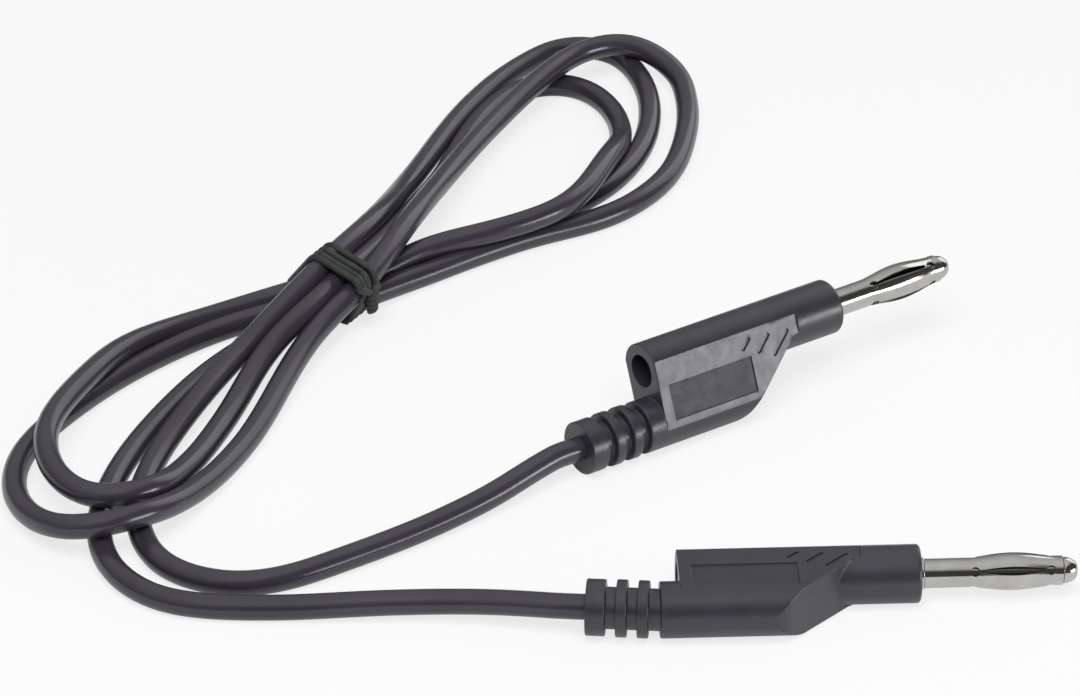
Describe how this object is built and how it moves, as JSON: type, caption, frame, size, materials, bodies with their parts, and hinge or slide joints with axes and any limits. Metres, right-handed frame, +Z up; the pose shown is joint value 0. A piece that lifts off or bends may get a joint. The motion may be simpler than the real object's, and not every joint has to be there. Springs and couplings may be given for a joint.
{
  "type": "test lead",
  "caption": "Thin flexible test lead folded into a tied hank, with a moulded 4 mm stacking banana plug on each end: sprung pin in front, socket behind, ribbed cord relief beside it.",
  "frame": {"origin": "on the table, in the middle of the box round the two plugs", "axes": "+X along the near plug's pin, towards its tip, +Z up from the table, +Y away from the viewer"},
  "size_m": [0.1335, 0.1603, 0.0136],
  "materials": {
    "plug_pvc": "satin black moulded PVC",
    "cord_pvc": "satin black soft PVC jacket",
    "tie_pvc": "matt black plastic over wire",
    "nickel": "bright nickel plate",
    "brass": "plain turned and stamped brass",
    "copper": "bare copper strands, modelled as one round bundle"
  },
  "bodies": {
    "lead": {"near_housing": "plug_pvc", "near_socket_tube": "brass", "near_pin_core": "nickel", "near_tip_cap": "nickel", "near_crimp_lug": "brass", "near_bare_wire": "copper", "near_cord_end": "cord_pvc", "far_housing": "plug_pvc", "far_socket_tube": "brass", "far_pin_core": "nickel", "far_tip_cap": "nickel", "far_crimp_lug": "brass", "far_bare_wire": "copper", "far_cord_end": "cord_pvc", "cord": "cord_pvc", "wire_tie": "tie_pvc"},
    "near_cage": {"near_leaf_cage": "nickel"},
    "far_cage": {"far_leaf_cage": "nickel"}
  },
  "joints": [
    {"name": "near_cage_spin", "type": "hinge", "parent": "lead", "child": "near_cage", "pos_m": [0.0205, -0.0284, 0.00365], "axis": [1, 0, 0], "continuous": true},
    {"name": "far_cage_spin", "type": "hinge", "parent": "lead", "child": "far_cage", "pos_m": [0.01262, 0.03242, 0.00995], "axis": [0.848, 0.5299, 0], "continuous": true}
  ]
}
